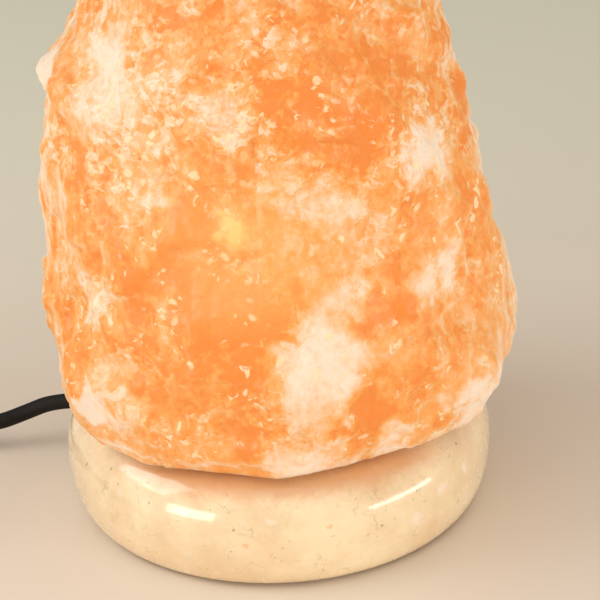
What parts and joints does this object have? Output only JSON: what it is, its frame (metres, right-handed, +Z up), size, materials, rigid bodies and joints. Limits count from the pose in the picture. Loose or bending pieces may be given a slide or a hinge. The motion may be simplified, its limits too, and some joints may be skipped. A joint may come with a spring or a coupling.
{
  "type": "salt crystal lamp",
  "caption": "Rough block of translucent rock salt on a round polished stone base, lit from inside, with a mains cord, thumb-wheel dimmer and flat plug.",
  "frame": {"origin": "centre of the felt ring's underside, on the table", "axes": "+Z up; the front of the lamp faces -Y; the cord leaves at the back left, towards -X"},
  "size_m": [0.3403, 0.144, 0.239],
  "materials": {
    "rock_salt": "translucent orange rock salt, lit from inside",
    "onyx": "polished cream onyx with brown specks",
    "felt": "dark felt",
    "screw_steel": "zinc plated steel",
    "nylon": "white nylon",
    "black_rubber": "black moulded rubber",
    "spring_steel": "plated spring steel",
    "black_plastic": "black thermoplastic",
    "brass": "plain brass",
    "porcelain": "white steatite",
    "copper_wire": "stranded copper",
    "clear_glass": "clear glass",
    "cap_metal": "nickel plated cap",
    "bulb_ceramic": "dark vitrite",
    "solder": "solder",
    "lead_wire": "nickel wire",
    "cord_sheath": "black round cord sheath",
    "tie_plastic": "black flat twist tie",
    "dimmer_plastic": "black moulded case",
    "wheel_plastic": "black notched wheel",
    "board": "brown paper board",
    "capacitor_case": "dipped film capacitor",
    "triac_case": "black package",
    "pin_brass": "nickel plated pins"
  },
  "bodies": {
    "lamp": {"salt_crystal": "rock_salt", "marble_base": "onyx", "felt_ring": "felt", "base_screws": "screw_steel", "screw_washers": "screw_steel", "screw_plugs": "nylon", "cord_grommet": "black_rubber", "spring_bracket": "spring_steel", "cord_bush": "black_plastic", "lock_nut": "brass", "holder_cap": "black_plastic", "holder_body": "black_plastic", "terminal_block": "porcelain", "terminal_screws": "brass", "shell_contact": "brass", "centre_contact": "brass", "core_wires": "copper_wire", "cord_inside": "cord_sheath", "cord_run": "cord_sheath", "cord_lead": "cord_sheath", "cord_coil": "cord_sheath", "cord_plug_lead": "cord_sheath", "cord_tie": "tie_plastic", "dimmer_lower": "dimmer_plastic", "dimmer_upper": "dimmer_plastic", "dimmer_screws": "screw_steel", "dimmer_reliefs": "black_rubber", "dimmer_dial": "board", "dimmer_board": "board", "dimmer_capacitor": "capacitor_case", "dimmer_triac": "triac_case", "dimmer_wires": "copper_wire", "dimmer_cord_tails": "cord_sheath", "plug_body": "black_rubber", "plug_pins": "pin_brass", "pin_sleeves": "black_plastic"},
    "bulb": {"bulb_glass": "clear_glass", "bulb_cap": "cap_metal", "bulb_insulator": "bulb_ceramic", "bulb_tip": "solder", "bulb_stem": "clear_glass", "bulb_leads": "lead_wire", "bulb_filament": "lead_wire"},
    "wheel": {"dimmer_wheel": "wheel_plastic", "dimmer_spindle": "wheel_plastic"}
  },
  "joints": [
    {"name": "bulb_turn", "type": "hinge", "parent": "lamp", "child": "bulb", "pos_m": [0, 0, 0.06], "axis": [0, 0, 1], "range_deg": [0, 900]},
    {"name": "wheel_turn", "type": "hinge", "parent": "lamp", "child": "wheel", "pos_m": [-0.16077, 0.03052, 0.009], "axis": [0, 0, 1], "range_deg": [0, 270]}
  ]
}
